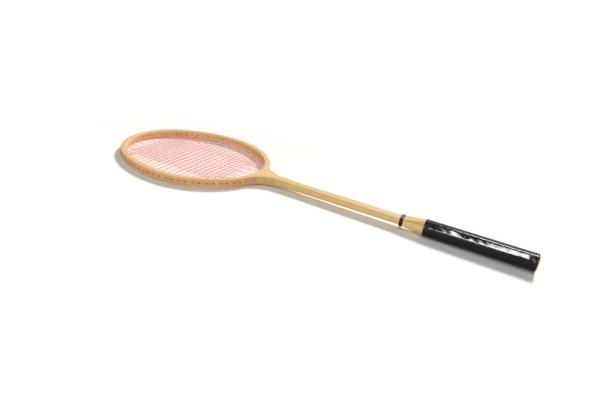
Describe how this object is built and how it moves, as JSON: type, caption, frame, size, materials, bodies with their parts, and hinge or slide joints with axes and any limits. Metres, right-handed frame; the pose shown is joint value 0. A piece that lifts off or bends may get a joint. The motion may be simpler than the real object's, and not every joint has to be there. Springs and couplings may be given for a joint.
{
  "type": "badminton racket",
  "caption": "Wooden badminton racket: a bow of glued bent strips makes the oval head and the shaft, with a strung bed, a throat wedge and an octagonal handle in black wrap.",
  "frame": {"origin": "centre of the butt's end face, on the string plane", "axes": "+X runs along the shaft to the tip of the head, +Y is the left side of the head seen from the handle, +Z is square to the string bed"},
  "size_m": [0.651, 0.214, 0.0226],
  "materials": {
    "bow_wood": "clear varnish over pale bent wood",
    "wedge_wood": "clear varnish over pale wood",
    "cheek_wood": "clear varnish over pale wood",
    "grip_vinyl": "smooth glossy black sheet",
    "band_tape": "dark brown-black tape",
    "string_nylon": "coral pink twisted cord"
  },
  "bodies": {
    "root": {"outer_ply": "bow_wood", "middle_ply": "bow_wood", "inner_ply": "bow_wood", "head_ring": "bow_wood", "throat_wedge": "wedge_wood", "left_cheek": "cheek_wood", "right_cheek": "cheek_wood", "top_cheek": "cheek_wood", "bottom_cheek": "cheek_wood", "grip_wrap": "grip_vinyl", "neck_band": "band_tape", "main_string": "string_nylon", "cross_string": "string_nylon", "string_knots": "string_nylon"}
  },
  "joints": []
}
